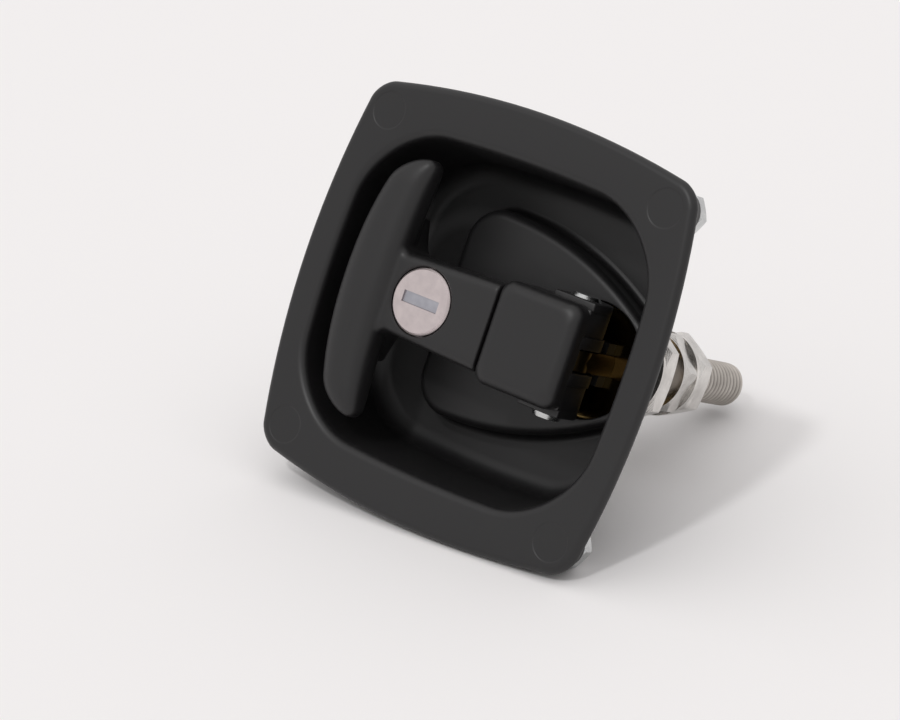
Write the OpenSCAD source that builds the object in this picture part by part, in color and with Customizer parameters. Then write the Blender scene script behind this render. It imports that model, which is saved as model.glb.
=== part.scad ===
// Flush folding T-handle compression latch.
// X runs right, Y runs back into the panel and Z runs up. The origin is the centre of the flange
// on the plane that seats on the panel, so whatever lies in front of the panel has a negative Y.

/* [Flange] */
// Width and height of the flange across its bowed sides
flange_size = 101.6; // [98:0.2:115]
// How far each side bows out between its corners
flange_bow = 4.95; // [2:0.05:6]
// Corner radius of the flange
flange_corner_r = 4.8; // [3:0.1:9]
// Thickness of the flange
flange_t = 2.5; // [2:0.1:4]
// Radius of the flange's front edge
flange_edge_r = 1.7; // [0.8:0.1:1.8]
// Height of the flat seat on the flange's back
seat_h = 0.2; // [0.1:0.05:0.5]
// Margin between the seat and the flange's edge
seat_margin = 1; // [0.5:0.1:2]

/* [Dish] */
// Width of the flange left and right of the dish
rim_w = 8.4; // [7.5:0.1:10]
// Height of the flange above and below the dish
rim_h = 12.4; // [11:0.1:14]
// How far each side of the mouth bows out
mouth_bow = 2.4; // [1:0.1:3]
// Corner radius of the mouth
mouth_corner_r = 18.5; // [15:0.5:20]
// Radius of the lip between flange and dish
lip_r = 2.2; // [1.5:0.1:3.5]
// Depth of the dish floor behind the seat
dish_floor = 25.5; // [25:0.1:27]
// How far the walls lean in by the floor
dish_draft = 2; // [1:0.1:3]
// How far the right wall leans in per millimetre of depth
dish_lean = 0.2; // [0.16:0.01:0.24]
// Radius between wall and floor
dish_fillet = 5; // [3:0.1:7]
// Wall thickness of the casting
pan_wall = 2.2; // [1.6:0.1:3]

/* [Island] */
// Depth of the island's top behind the seat
island_top = 17.1; // [16.5:0.1:17.5]
// Gap between the island and the dish wall, above and below
island_gap_h = 12.4; // [11:0.1:14]
// Radius of the island's long curved sides
island_side_r = 95; // [80:1:110]
// Where the curved sides are widest
island_crest_x = -13; // [-15:0.5:-5]
// Gap between the island's left end and the dish wall
island_gap_w = 21.4; // [20:0.1:23]
// Radius of the island's left corners
island_corner_r = 9.2; // [7:0.1:11]
// Radius of the island's top edge
island_edge_r = 2.4; // [1:0.1:3]

/* [Studs] */
// Distance of a stud's centre from the flange's edges
stud_inset = 11.1; // [10.5:0.1:12]
// Radius of a stud
stud_r = 2.4; // [2:0.05:2.6]
// Radius of the boss round a stud
stud_boss_r = 5.4; // [5:0.1:5.6]
// Height of the boss behind the seat
stud_boss_h = 4.6; // [3:0.1:6]
// Length of stud inside its boss
stud_root = 2.2; // [1.8:0.1:2.2]
// Width across flats of a stud nut
stud_nut_af = 9.5; // [8:0.1:10]
// Height of a stud nut
stud_nut_h = 3.4; // [2.5:0.1:5]
// Length of stud beyond its nut
stud_over = 1.7; // [0.5:0.1:4]

/* [Hub] */
// Distance of the shaft's axis from the dish's right side
shaft_inset = 20.2; // [19.5:0.1:21]
// How far the hub's disc reaches beyond the pivot block
hub_rim = 1.1; // [0.9:0.1:1.4]
// Depth of the disc's front behind the seat
hub_face = 20.5; // [19.5:0.1:21]
// Thickness of the disc
hub_disc_t = 3; // [2:0.1:4]
// Radius of the hub's neck
hub_neck_r = 9.5; // [8.5:0.1:10.5]
// How far the thrust plate reaches left of the shaft's axis
plate_left = 12; // [10:0.1:12.4]
// How far the thrust plate reaches right of the shaft's axis
plate_right = 4.4; // [3.5:0.1:4.4]
// Thickness of the pan behind the hub
hub_seat_t = 6.4; // [5:0.1:8]
// Wall of the boss round the hub's well
well_wall = 1.6; // [1.4:0.1:2]
// How far that boss reaches round the neck at the back
well_back_rim = 2.9; // [2:0.1:3.2]
// Radius of the seal's section
seal_r = 0.75; // [0.6:0.05:1]
// How far the washer behind the pan stays inside the hub's disc
hub_washer_step = 0.3; // [0:0.1:2]
// Thickness of that washer
hub_washer_t = 1.2; // [0.8:0.1:2]
// Width across flats of the hub nut
hub_nut_af = 25.4; // [23:0.1:28]
// Height of the hub nut
hub_nut_h = 5.6; // [4:0.1:8]
// Length of neck beyond the hub nut
hub_neck_over = 0.5; // [0.2:0.1:3]

/* [Shaft] */
// Radius of the shaft
shaft_r = 5.55; // [5.3:0.05:5.7]
// Half distance across the shaft's flats
shaft_flat = 2.6; // [2.3:0.05:2.9]
// Depth of the shaft's tip behind the seat
shaft_tip = 89.1; // [80:0.1:110]
// Chamfer at the tip
tip_chamfer = 0.9; // [0.4:0.1:1.5]
// Depth where the jam nut starts
jam_nut_y = 48; // [45:0.1:55]
// Width across flats of the shaft's nuts
shaft_nut_af = 19.05; // [17:0.05:22]
// Height of the jam nut
jam_nut_h = 5.1; // [4:0.1:8]
// Height of the pawl nut
pawl_nut_h = 5.4; // [4:0.1:8]
// Outer radius of the flat washer
flat_washer_r = 10.5; // [9:0.1:12]
// Thickness of the flat washer
flat_washer_t = 1.1; // [0.8:0.1:2]
// Outer radius of the spring washer
spring_washer_r = 9.4; // [8.5:0.1:10.5]
// Thickness of the spring washer
spring_washer_t = 1.6; // [1:0.1:2.5]
// Width of the split in the spring washer
spring_washer_split = 1.2; // [0.6:0.1:2]

/* [Hinge and cam] */
// Depth of the hinge pin behind the seat, with the handle folded
pin_y = 7.6; // [7.2:0.1:8]
// Radius of the hinge pin
pin_r = 3; // [2.5:0.1:3.3]
// Radius of the pin's heads
pin_head_r = 3.8; // [3.5:0.1:4.5]
// Height of the pin's lower head
pin_head_h = 1.3; // [0.8:0.1:2]
// Height of the retainer on the pin's upper end
retainer_h = 0.8; // [0.6:0.1:1.4]
// How far the shaft moves back as the handle lifts a quarter turn
cam_rise = 3.2; // [2.8:0.1:3.4]
// How far the flat of the cam reaches left of the pin
cam_flat = 8.7; // [7:0.1:9.5]

/* [Pivot block] */
// How far the block reaches left of the shaft's axis
block_reach = 16.65; // [15.5:0.05:17.5]
// How far the block reaches right of the shaft's axis
cap_reach = 6.1; // [5.9:0.1:6.2]
// Half height of the block
block_half_h = 12.6; // [12.2:0.1:12.8]
// Front of the block ahead of the seat
block_front = 3.6; // [3:0.1:4.5]
// Radius of the block's edges
block_edge_r = 3; // [2:0.1:3.2]
// Radius of the block's corners
block_corner_r = 3.2; // [3.1:0.1:4]
// Depth of the block's left part behind the seat
block_back = 12.2; // [11:0.1:13]
// Half height of the cam between the cheeks
cam_half_h = 5.6; // [5.2:0.1:6]
// Thickness of the ears outside the block
ear_t = 1.3; // [0.8:0.1:1.5]
// How far the ears reach left of the pin
ear_left = 5.7; // [4.5:0.1:7]
// Depth at which the ears start behind the seat
ear_front = 2.6; // [1:0.1:4]

/* [T-handle] */
// Gap between the grip and the dish's left side
grip_gap = 5.1; // [4.5:0.1:6.5]
// Width of the grip at its middle
grip_w = 13.9; // [13:0.1:15]
// Gap between the grip's ends and the dish
grip_end_gap = 6.4; // [6:0.1:8]
// Width lost towards the grip's ends
grip_taper = 3.8; // [3:0.1:6]
// Length of the rounded ends
grip_end_l = 7.2; // [5:0.1:10]
// Radius of the tips on the shaft's side
grip_tip_r = 2.4; // [2:0.1:4.5]
// How far the tips lean towards the shaft
grip_tip_lean = 2.1; // [0:0.1:2.5]
// Front of the grip ahead of the seat
grip_front = 5.8; // [4:0.1:7]
// Thickness of the grip at its middle
grip_t = 11.6; // [10:0.1:13]
// Thickness lost towards the grip's ends
grip_thin = 3.2; // [2:0.1:4]
// Half height of the stem at the block
stem_half_h = 10.8; // [10.2:0.1:11.4]
// Half height of the stem at the grip
stem_half_h_grip = 9.6; // [9.4:0.1:10.5]
// Front of the stem ahead of the seat
stem_front = 2.7; // [2:0.1:3.4]
// Depth of the stem's back behind the seat
stem_back = 9.4; // [8.8:0.1:10]
// Radius of the stem's long edges
stem_edge_r = 2.2; // [1:0.1:3]
// Height of the flare where the stem meets the grip
stem_flare = 1.2; // [0.5:0.1:4]
// Length of that flare
stem_flare_l = 1.8; // [1:0.1:5]
// Thickness of the block in front of the tenon
tenon_skin = 3.2; // [2:0.1:4]
// How far the tenon stays in front of the stem's back
tenon_step = 0.6; // [0.3:0.1:1]
// Length of the tenon in the block
tenon_l = 9.4; // [8:0.1:10]
// Half height of the tenon
tenon_half_h = 6; // [4.5:0.1:7]
// Radius of the pins through the tenon
tenon_pin_r = 1.5; // [1:0.1:1.8]
// Half distance between those pins
tenon_pin_z = 3.4; // [2.5:0.1:4]

/* [Lock] */
// Distance of the lock's axis from the grip
lock_inset = 9.46; // [9:0.01:10]
// How far the lock's face stands proud of the stem
face_proud = 0.1; // [0:0.05:0.5]
// Chamfer round the lock's face
face_chamfer = 0.5; // [0.2:0.1:0.8]
// Radius of the lock's face
lock_face_r = 8.05; // [7.8:0.01:8.1]
// Thickness of the lock's face
lock_face_t = 3; // [2.6:0.1:3.4]
// Radius of the barrel
barrel_r = 8.3; // [8.2:0.05:8.4]
// Depth of the barrel's back behind the seat
barrel_back = 10.6; // [10:0.1:11]
// Radius of the core
core_r = 6.4; // [6.2:0.1:6.6]
// Length of the key slot
key_slot_l = 10.3; // [8:0.1:10.4]
// Height of the key slot
key_slot_h = 2.8; // [2:0.1:2.9]
// Thickness of the face over the shutter
face_lip = 0.45; // [0.3:0.05:0.6]
// Thickness of the shutter
shutter_t = 0.9; // [0.8:0.05:1]
// Radius of the shutter's hinge wire
shutter_pin_r = 0.22; // [0.15:0.01:0.25]
// Number of wafers
wafer_count = 4; // [3:1:4]
// Distance from one wafer to the next
wafer_pitch = 1.7; // [1.5:0.1:1.8]
// Thickness of a wafer
wafer_t = 1.1; // [0.8:0.1:1.2]
// Radius of the pin that keeps the barrel in the stem
barrel_pin_r = 1; // [0.6:0.1:1]
// Thickness of the clip behind the barrel
clip_t = 0.8; // [0.6:0.1:1]
// Reach of the bolt's arm from the lock's axis
bolt_arm = 6.5; // [5.5:0.1:7]
// Half width of the bolt's arm
bolt_half_w = 2; // [1.5:0.1:2.3]
// Radius of the bolt's shank
bolt_shank_r = 2.4; // [2:0.1:2.5]
// Thickness of the bolt's arm
bolt_arm_t = 2.3; // [1.5:0.1:3]
// Half height of the bolt's slot in the island
bolt_slot_half_h = 3.5; // [3.4:0.1:4]

/* [Clearances] */
// Radial clearance of running fits
run_gap = 0.05; // [0.03:0.01:0.08]
// Radial clearance of pieces that stay put
seat_gap = 0.02; // [0.01:0.01:0.04]
// Gap between flat or curved faces that move past each other
move_gap = 0.3; // [0.2:0.05:0.4]
// Gap under the cam
cam_gap = 0.15; // [0.1:0.05:0.2]
// End play of the hub and of the plug
end_gap = 0.1; // [0.05:0.05:0.2]
// Gap at the parting line between stem and block
part_gap = 0.2; // [0.1:0.05:0.4]

/* [Hidden] */
$fn = 64;

black = "#2b2a2d";
nickel = "#c9c2be";
zinc = "#cfd2d4";
yellow_zinc = "#c2a14a";
steel = "#a9a6a2";
brass = "#b08d4f";
rubber = "#1b1b1b";

// Points on each outline's corner, side and rounded edge
corner_n = 8;
side_n = 8;
edge_n = 4;

// Reach of cutters, and how far joined pieces sink into each other
big = 60;
sink = 1;
lap = 0.4;

// Dish and island
mouth_w = flange_size - 2 * rim_w;
mouth_h = flange_size - 2 * rim_h;
fillet_out = dish_fillet + pan_wall;
fillet_in = -dish_draft - dish_fillet;
fillet_y = dish_floor - dish_fillet;
island_half_h = mouth_h / 2 - island_gap_h;
island_left = island_gap_w - mouth_w / 2;
island_wall = pan_wall + lap;
hollow_right = mouth_w / 2 - dish_draft - 4 * pan_wall;

// Studs
stud_spacing = flange_size - 2 * stud_inset;
stud_tip = stud_boss_h + stud_nut_h + stud_over;
stud_chamfer = 0.6;

// Hub and the stack behind the pan
shaft_x = mouth_w / 2 - shaft_inset;
hub_r = block_half_h + hub_rim;
plate_half_h = cam_half_h - move_gap;
well_r = hub_r + move_gap;
well_floor = hub_face + hub_disc_t + end_gap;
boss_y = island_top + pan_wall / 2;
boss_r = well_r + well_wall;
boss_turn = well_floor + lap;
boss_back_r = hub_neck_r + well_back_rim;
pan_back = well_floor + hub_seat_t;
hub_washer_r = hub_r - hub_washer_step;
hub_washer_y = pan_back + end_gap;
hub_nut_y = hub_washer_y + hub_washer_t;
neck_end = hub_nut_y + hub_nut_h + hub_neck_over;
seal_ring_r = hub_neck_r - seal_r;
seal_y = well_floor + hub_seat_t / 2;
flat_end = neck_end + cam_rise + sink;

// Nuts and washers on the shaft
nut_chamfer = 0.58;
flat_washer_y = jam_nut_y + jam_nut_h;
spring_washer_y = flat_washer_y + flat_washer_t;
pawl_nut_y = spring_washer_y + spring_washer_t;
split_turn = 25;

// Cam: the distance from pin to thrust plate falls evenly as the handle lifts
heel = island_top - pin_y - cam_gap;
toe = heel - cam_rise;
cam_slope = cam_rise * 2 / PI;
ear_relief = 1.5 * move_gap;
slot_half = shaft_flat + move_gap;
swing_r = shaft_r + move_gap;
block_left = shaft_x - block_reach;
block_right = shaft_x + cap_reach;
cap_back = pin_y - swing_r + sink;
cheek_out = block_half_h - lap;
ear_out = block_half_h + ear_t;
head_taper = 0.6;

// Grip, stem and tenon
grip_left = grip_gap - mouth_w / 2;
grip_inner = grip_left + grip_w;
grip_half_l = mouth_h / 2 - grip_end_gap;
grip_ring_n = 28;
grip_power = 0.8;
grip_end_t = 0.35;
grip_end_w = 1.2;
grip_set_back = 0.4;
flare_power = 2.2;
stem_start = grip_inner - 3 * sink;
flare_end = grip_inner + stem_flare_l;
stem_end = block_left - part_gap;
tenon_front = tenon_skin - block_front;
tenon_back = stem_back - tenon_step;
tenon_end = stem_end + tenon_l;
tenon_pin_x = stem_end + tenon_l / 2;
tenon_pin_chamfer = 0.4;

// Lock
lock_x = grip_inner + lock_inset;
face_y = -stem_front - face_proud;
core_start = face_y + lock_face_t;
clip_y = barrel_back + end_gap;
core_end = clip_y + clip_t + sink;
clip_groove_r = core_r - clip_t;
clip_r = barrel_r - 2 * move_gap;
clip_mouth = 0.6 * clip_groove_r;
pocket_gap = 0.12;
pocket_y = face_y + face_lip;
shutter_y = pocket_y + run_gap;
shutter_half_l = key_slot_l / 2 + seat_gap;
pocket_half_l = key_slot_l / 2 + pocket_gap;
hinge_z = key_slot_h / 2 + shutter_t / 2;
hinge_y = shutter_y + shutter_t / 2;
pocket_top = hinge_z + shutter_t / 2 + pocket_gap;
pocket_low = -key_slot_h / 2 - end_gap;
shutter_low = -key_slot_h / 2 + run_gap;
pocket_end = hinge_y + hinge_z - shutter_low + shutter_t / 2;
shutter_pin_l = 2 * pocket_half_l + 1.8;
keyway_l = 8.2;
keyway_h = 2.2;
wafer_start = pocket_end + 2 * move_gap;
wafer_half_l = 5.4;
wafer_half_h = 2.6;
wafer_hole = 3.4;
barrel_pin_y = barrel_back - 7;
barrel_pin_chamfer = 0.2;
spigot_r = 3;
spigot_l = 3.6;
socket_r = 4.6;
socket_end = core_end + spigot_l + sink;
bolt_arm_y = island_top + pan_wall + sink;
bolt_slot_left = lock_x - bolt_shank_r - 2.6;
bolt_slot_right = lock_x + bolt_arm + 0.8;
bolt_pin_y = core_end + spigot_l / 2;
bolt_pin_r = 0.75;

// Point on a bowed outline, from the point on the straight one
function bowed(p, hw, hh, bow) = [
    p.x + bow * (1 - pow(p.y / hh, 2)) * p.x / hw,
    p.y + bow * (1 - pow(p.x / hw, 2)) * p.y / hh];

// Rounded rectangle with bowed sides, anticlockwise from the right
function bowed_rect(hw, hh, r, bow, side_n = side_n) = [for (k = [0:3])
    let (sx = (k == 0 || k == 3) ? 1 : -1, sz = k < 2 ? 1 : -1,
        tx = (k == 0 || k == 1) ? -1 : 1, tz = (k == 1 || k == 2) ? -1 : 1,
        end = 90 * (k + 1))
    each concat(
        [for (j = [0:corner_n]) let (a = 90 * (k + j / corner_n))
            bowed([sx * (hw - r) + r * cos(a), sz * (hh - r) + r * sin(a)], hw, hh, bow)],
        [for (j = [1:1:side_n - 1]) let (u = j / side_n)
            bowed([(sx + (tx - sx) * u) * (hw - r) + r * cos(end),
                (sz + (tz - sz) * u) * (hh - r) + r * sin(end)], hw, hh, bow)])];

function at_y(outline, y) = [for (p = outline) [p.x, y, p.y]];
function flange_line(grow) = let (half = flange_size / 2 - flange_bow)
    bowed_rect(half + grow, half + grow, flange_corner_r + grow, flange_bow);
function mouth_line(grow) = bowed_rect(mouth_w / 2 - mouth_bow + grow,
    mouth_h / 2 - mouth_bow + grow, mouth_corner_r + grow, mouth_bow);

// Outline at a depth, with its right half leaning in
function leaned(outline, y) = let (k = 1 - dish_lean * max(0, y) / (mouth_w / 2))
    [for (p = outline) [p.x > 0 ? p.x * k : p.x, y, p.y]];

function arc(c, r, from, to, n) = [for (j = [0:n])
    let (a = from + (to - from) * j / n) c + r * [cos(a), sin(a)]];

// Right end of the island, just inside the dish wall
function island_right(z) = mouth_w / 2 - 0.94 * dish_draft
    - mouth_bow * pow(z / (mouth_h / 2 - mouth_bow), 2);
function island_side(x, inset) = sqrt(pow(island_side_r - inset, 2) - pow(x - island_crest_x, 2))
    - (island_side_r - island_half_h);
function island_upper(inset) = let (x_end = mouth_w / 2 - 2 * dish_draft,
        z_end = island_side(x_end, inset), x_start = island_left + island_corner_r,
        z_corner = island_side(x_start, 0) - island_corner_r)
    concat(
        [for (j = [0:4]) let (z = z_end * j / 5) [island_right(z), z]],
        [[island_right(z_end), z_end]],
        [for (j = [1:12]) let (x = x_end + (x_start - x_end) * j / 13) [x, island_side(x, inset)]],
        arc([x_start, z_corner], island_corner_r - inset, 90, 180, 8));
function island_line(inset) = let (up = island_upper(inset), n = len(up))
    concat(up, [for (j = [n - 1:-1:1]) [up[j].x, -up[j].y]]);

// Skin through a list of rings with the same number of points
module loft(rings) {
    n = len(rings[0]);
    m = len(rings);
    sides = [for (i = [0:m - 2]) for (j = [0:n - 1])
        let (k = (j + 1) % n, a = i * n, b = (i + 1) * n)
        each [[a + j, b + j, a + k], [a + k, b + j, b + k]]];
    polyhedron([for (ring = rings) each ring],
        concat(sides, [[for (j = [0:n - 1]) j]], [[for (j = [n - 1:-1:0]) (m - 1) * n + j]]),
        convexity = 10);
}

// Extrusion along Y of an outline drawn in X and Z
module along_y(y0, y1) {
    translate([0, y1, 0]) rotate([90, 0, 0]) linear_extrude(y1 - y0) children();
}

// Extrusion along Z between two heights
module along_z(z0, z1) {
    translate([0, 0, z0]) linear_extrude(z1 - z0) children();
}

module rod_y(x, z, r, y0, y1, tip = 0) {
    translate([x, y0, z]) rotate([-90, 0, 0]) {
        cylinder(h = y1 - y0 - tip, r = r);
        if (tip > 0) translate([0, 0, y1 - y0 - tip]) cylinder(h = tip, r1 = r, r2 = r - tip);
    }
}

module rod_x(y, z, r, x0, x1) {
    translate([x0, y, z]) rotate([0, 90, 0]) cylinder(h = x1 - x0, r = r);
}

module rod_z(x, y, r, z0, z1) {
    translate([x, y, z0]) cylinder(h = z1 - z0, r = r);
}

module box(x0, x1, y0, y1, z0, z1) {
    translate([x0, y0, z0]) cube([x1 - x0, y1 - y0, z1 - z0]);
}

module ring_y(x, z, r_in, r_out, y0, y1) {
    difference() {
        rod_y(x, z, r_out, y0, y1);
        rod_y(x, z, r_in, y0 - sink, y1 + sink);
    }
}

// Hexagon nut along Y with both rims chamfered, one corner turned up from the right
module hex_nut(af, h, bore_r, turn) {
    corner = af / sqrt(3);
    chamfer = (corner - af / 2) * nut_chamfer;
    rotate([-90, 0, 0]) difference() {
        intersection() {
            rotate([0, 0, -turn]) cylinder(h = h, r = corner, $fn = 6);
            rotate_extrude() polygon([[0, 0], [af / 2, 0], [corner, chamfer],
                [corner, h - chamfer], [af / 2, h], [0, h]]);
        }
        translate([0, 0, -sink]) cylinder(h = h + 2 * sink, r = bore_r);
    }
}

module at_studs() {
    for (sx = [-1, 1]) for (sz = [-1, 1])
        translate([sx * stud_spacing / 2, 0, sz * stud_spacing / 2]) children();
}

// Flange, lip and dish as one shell
module pan_shell() {
    loft(concat(
        [for (p = arc([fillet_in, fillet_y], fillet_out, 90, 0, edge_n)) leaned(mouth_line(p.x), p.y)],
        [at_y(mouth_line(pan_wall), -seat_h), at_y(flange_line(0), -seat_h)],
        [for (p = arc([-flange_edge_r, flange_edge_r - flange_t], flange_edge_r, 0, -90, edge_n))
            at_y(flange_line(p.x), p.y)],
        [for (p = arc([lip_r, lip_r - flange_t], lip_r, -90, -180, edge_n))
            leaned(mouth_line(p.x), p.y)],
        [for (p = arc([fillet_in, fillet_y], dish_fillet, 0, 90, edge_n))
            leaned(mouth_line(p.x), p.y)]));
}

module island() {
    loft(concat(
        [leaned(island_line(0), dish_floor + lap)],
        [for (p = arc([-island_edge_r, island_top + island_edge_r], island_edge_r, 0, -90, edge_n))
            leaned(island_line(-p.x), p.y)]));
}

module pan() {
    color(black) difference() {
        union() {
            difference() {
                union() {
                    pan_shell();
                    island();
                }
                along_y(island_top + pan_wall, big) polygon([for (p = island_line(island_wall))
                    [min(p.x, hollow_right), p.y]]);
            }
            along_y(-sink, 0) difference() {
                polygon(flange_line(-seat_margin));
                polygon(mouth_line(pan_wall / 2));
            }
            at_studs() rod_y(0, 0, stud_boss_r, -sink, stud_boss_h);
            rod_y(shaft_x, 0, boss_r, boss_y, boss_turn);
            translate([shaft_x, boss_turn, 0]) rotate([-90, 0, 0])
                cylinder(h = pan_back - boss_turn, r1 = boss_r, r2 = boss_back_r);
        }
        at_studs() rod_y(0, 0, stud_r + seat_gap, stud_boss_h - stud_root, big);
        rod_y(shaft_x, 0, well_r, -big, well_floor);
        rod_y(shaft_x, 0, hub_neck_r + run_gap, -big, big);
        box(bolt_slot_left, bolt_slot_right, island_top - sink, island_top + 2 * pan_wall,
            -bolt_slot_half_h, bolt_slot_half_h);
    }
}

module mounting_studs() {
    color(zinc) at_studs() rod_y(0, 0, stud_r, stud_boss_h - stud_root, stud_tip, stud_chamfer);
}

module stud_nuts() {
    color(zinc) at_studs() translate([0, stud_boss_h, 0])
        hex_nut(stud_nut_af, stud_nut_h, stud_r + seat_gap, 0);
}

// Round shaft hole with two flats
module shaft_hole(gap) {
    intersection() {
        rod_y(shaft_x, 0, shaft_r + gap, -big, big);
        box(-big, big, -big, big, -shaft_flat - gap, shaft_flat + gap);
    }
}

module hub() {
    color(yellow_zinc) difference() {
        union() {
            rod_y(shaft_x, 0, hub_r, hub_face, hub_face + hub_disc_t);
            rod_y(shaft_x, 0, hub_neck_r, hub_face, neck_end);
        }
        shaft_hole(run_gap);
        ring_y(shaft_x, 0, hub_neck_r - 2 * seal_r - seat_gap, hub_neck_r + sink,
            seal_y - seal_r - seat_gap, seal_y + seal_r + seat_gap);
    }
}

// Plate on the hub that the cam presses on
module thrust_plate() {
    color(black) difference() {
        box(shaft_x - plate_left, shaft_x + plate_right, island_top, hub_face,
            -plate_half_h, plate_half_h);
        shaft_hole(run_gap);
    }
}

module hub_seal() {
    color(rubber) translate([shaft_x, seal_y, 0]) rotate([-90, 0, 0])
        rotate_extrude() translate([seal_ring_r, 0]) circle(r = seal_r);
}

module hub_washer() {
    color(zinc) ring_y(shaft_x, 0, hub_neck_r + run_gap, hub_washer_r, hub_washer_y, hub_nut_y);
}

module hub_nut() {
    color(zinc) translate([shaft_x, hub_nut_y, 0])
        hex_nut(hub_nut_af, hub_nut_h, hub_neck_r + seat_gap, 30);
}

module shaft() {
    color(steel) difference() {
        union() {
            rod_z(shaft_x, pin_y, shaft_r, -shaft_flat, shaft_flat);
            intersection() {
                rod_y(shaft_x, 0, shaft_r, pin_y, flat_end);
                box(-big, big, -big, big, -shaft_flat, shaft_flat);
            }
            rod_y(shaft_x, 0, shaft_r, flat_end, shaft_tip, tip_chamfer);
        }
        rod_z(shaft_x, pin_y, pin_r + run_gap, -big, big);
    }
}

module jam_nut() {
    color(zinc) translate([shaft_x, jam_nut_y, 0])
        hex_nut(shaft_nut_af, jam_nut_h, shaft_r + seat_gap, 15);
}

module flat_washer() {
    color(zinc) ring_y(shaft_x, 0, shaft_r + run_gap, flat_washer_r, flat_washer_y, spring_washer_y);
}

module spring_washer() {
    color(steel) difference() {
        ring_y(shaft_x, 0, shaft_r + run_gap, spring_washer_r, spring_washer_y, pawl_nut_y);
        translate([shaft_x, spring_washer_y, 0]) rotate([0, 0, split_turn])
            box(-spring_washer_split / 2, spring_washer_split / 2, -big, big, 0, big);
    }
}

module pawl_nut() {
    color(zinc) translate([shaft_x, pawl_nut_y, 0])
        hex_nut(shaft_nut_af, pawl_nut_h, shaft_r + seat_gap, 28);
}

module hinge_pin() {
    color(zinc) {
        rod_z(shaft_x, pin_y, pin_r, -ear_out, ear_out + retainer_h / 2);
        translate([shaft_x, pin_y, -ear_out - pin_head_h])
            cylinder(h = pin_head_h, r1 = pin_head_r - head_taper, r2 = pin_head_r);
    }
}

module pin_retainer() {
    color(zinc) difference() {
        translate([shaft_x, pin_y, ear_out])
            cylinder(h = retainer_h, r1 = pin_head_r, r2 = pin_head_r - head_taper);
        rod_z(shaft_x, pin_y, pin_r + seat_gap, -big, ear_out + retainer_h / 2 + seat_gap);
    }
}

// Working curve of the cam about the pin, drawn in from the full curve by a relief
function cam_curve(relief) = [for (a = [0:6:90])
    let (p = heel - relief - cam_rise * a / 90)
    [p * sin(a) - cam_slope * cos(a), p * cos(a) + cam_slope * sin(a)]];

module cam_side(relief, left, front) {
    translate([shaft_x, pin_y]) polygon(concat([[-left, heel - relief]], cam_curve(relief),
        [[toe - relief, front - pin_y], [-left, front - pin_y]]));
}

module block_cap() {
    hw = (block_right - block_left) / 2;
    translate([(block_left + block_right) / 2, 0, 0]) loft(concat(
        [at_y(bowed_rect(hw, block_half_h, block_corner_r, 0, 1), cap_back)],
        [for (p = arc([-block_edge_r, block_edge_r - block_front], block_edge_r, 0, -90, edge_n))
            at_y(bowed_rect(hw + p.x, block_half_h + p.x, block_corner_r, 0, 1), p.y)]));
}

module pivot_block() {
    color(black) difference() {
        union() {
            block_cap();
            along_z(-cam_half_h - lap, cam_half_h + lap) cam_side(0, cam_flat, block_edge_r);
            for (s = [0, 1]) mirror([0, 0, s]) {
                along_z(cam_half_h, cheek_out) cam_side(ear_relief, cam_flat, block_edge_r);
                along_z(cheek_out - sink, ear_out) cam_side(ear_relief, ear_left, ear_front);
            }
            box(block_left + lap, shaft_x - cam_flat + sink, 0, block_back, -cheek_out, cheek_out);
        }
        along_z(-slot_half, slot_half) translate([shaft_x, pin_y]) {
            circle(r = swing_r);
            translate([-swing_r, 0]) square(big);
            translate([0, -swing_r]) square(big);
        }
        box(-big, tenon_end + part_gap, tenon_front - seat_gap, tenon_back + seat_gap,
            -tenon_half_h - seat_gap, tenon_half_h + seat_gap);
        rod_z(shaft_x, pin_y, pin_r + seat_gap, -big, big);
        for (s = [-1, 1])
            rod_y(tenon_pin_x, s * tenon_pin_z, tenon_pin_r + seat_gap, tenon_front, big);
    }
}

// Edges of the grip at a height, rounded off over a length at its ends
function grip_round(z, l) = let (u = max(0, abs(z) - grip_half_l + l) / l) sqrt(max(0, 1 - u * u));
function grip_line(z) = grip_inner + grip_tip_lean * pow(abs(z) / grip_half_l, 3) - grip_tip_r;
function grip_in(z) = grip_line(z) + grip_tip_r * grip_round(z, grip_tip_r);
function grip_out(z) = grip_line(z)
    - (grip_w - grip_tip_r - grip_taper * pow(z / grip_half_l, 2)) * grip_round(z, grip_end_l);
function grip_thick(z) = (grip_t - grip_thin * pow(z / grip_half_l, 2))
    * (grip_end_t + (1 - grip_end_t) * grip_round(z, grip_end_l));
function grip_ring(z) = let (w = max(grip_in(z) - grip_out(z), grip_end_w), t = grip_thick(z),
        x = (grip_in(z) + grip_out(z)) / 2, y = -grip_front + grip_set_back * (grip_t - t) + t / 2)
    [for (j = [0:grip_ring_n - 1]) let (a = 360 * j / grip_ring_n, c = cos(a), s = sin(a))
        [x + w / 2 * sign(c) * pow(abs(c), grip_power),
            y + t / 2 * sign(s) * pow(abs(s), grip_power), z]];
grip_levels = concat(
    [for (j = [0:5]) -grip_half_l + grip_end_l * (1 - cos(90 * j / 6))],
    [for (j = [0:12]) (grip_half_l - grip_end_l) * (j / 6 - 1)],
    [for (j = [5:-1:0]) grip_half_l - grip_end_l * (1 - cos(90 * j / 6))]);

// Cross-section of the stem at a place along its length
function stem_h(x) = stem_half_h_grip
    + (stem_half_h - stem_half_h_grip) * (x - stem_start) / (stem_end - stem_start)
    + stem_flare * pow(max(0, flare_end - x) / stem_flare_l, flare_power);
function stem_ring(x) = let (y = (stem_back - stem_front) / 2,
        line = bowed_rect((stem_front + stem_back) / 2, stem_h(x), stem_edge_r, 0, 1))
    [for (p = line) [x, y + p.x, p.y]];
stem_levels = concat([for (j = [0:8]) stem_start + (flare_end - stem_start) * j / 8], [stem_end]);

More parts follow.
